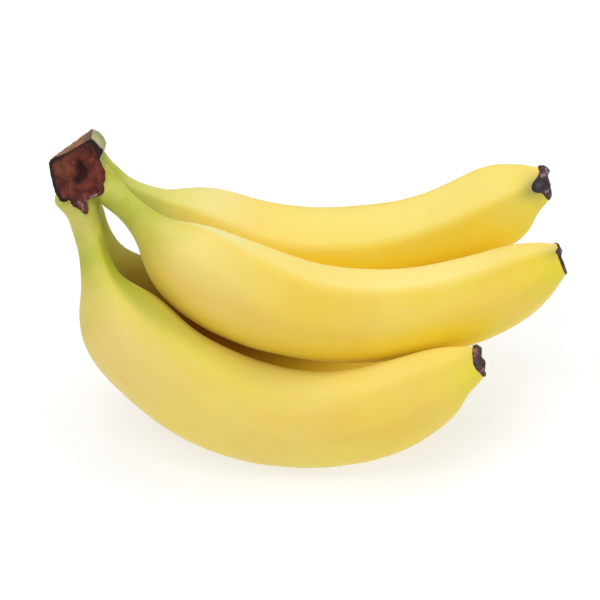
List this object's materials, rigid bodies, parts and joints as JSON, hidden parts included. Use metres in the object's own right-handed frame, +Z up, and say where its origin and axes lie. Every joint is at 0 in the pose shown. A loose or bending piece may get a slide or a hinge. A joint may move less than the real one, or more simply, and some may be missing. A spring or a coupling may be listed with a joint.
{
  "type": "bunch of bananas",
  "caption": "Bunch of curved bananas in rows on a cut crown, with softly ridged peel and dried flower tips, lying on its lower row.",
  "frame": {"origin": "on the surface that the bunch lies on, below the middle of its bounding box", "axes": "+X along the fruit from the crown towards their tips, +Y from the front row towards the back row, +Z up"},
  "size_m": [0.207, 0.1108, 0.1134],
  "materials": {
    "peel": "satin",
    "dried_crown": "matte",
    "dried_flower": "matte"
  },
  "bodies": {
    "root": {"crown": "dried_crown", "banana_lower_front": "peel", "banana_upper_front": "peel", "banana_lower_back": "peel", "banana_upper_back": "peel", "flower_end_lower_front": "dried_flower", "flower_end_upper_front": "dried_flower", "flower_end_lower_back": "dried_flower", "flower_end_upper_back": "dried_flower"}
  },
  "joints": []
}
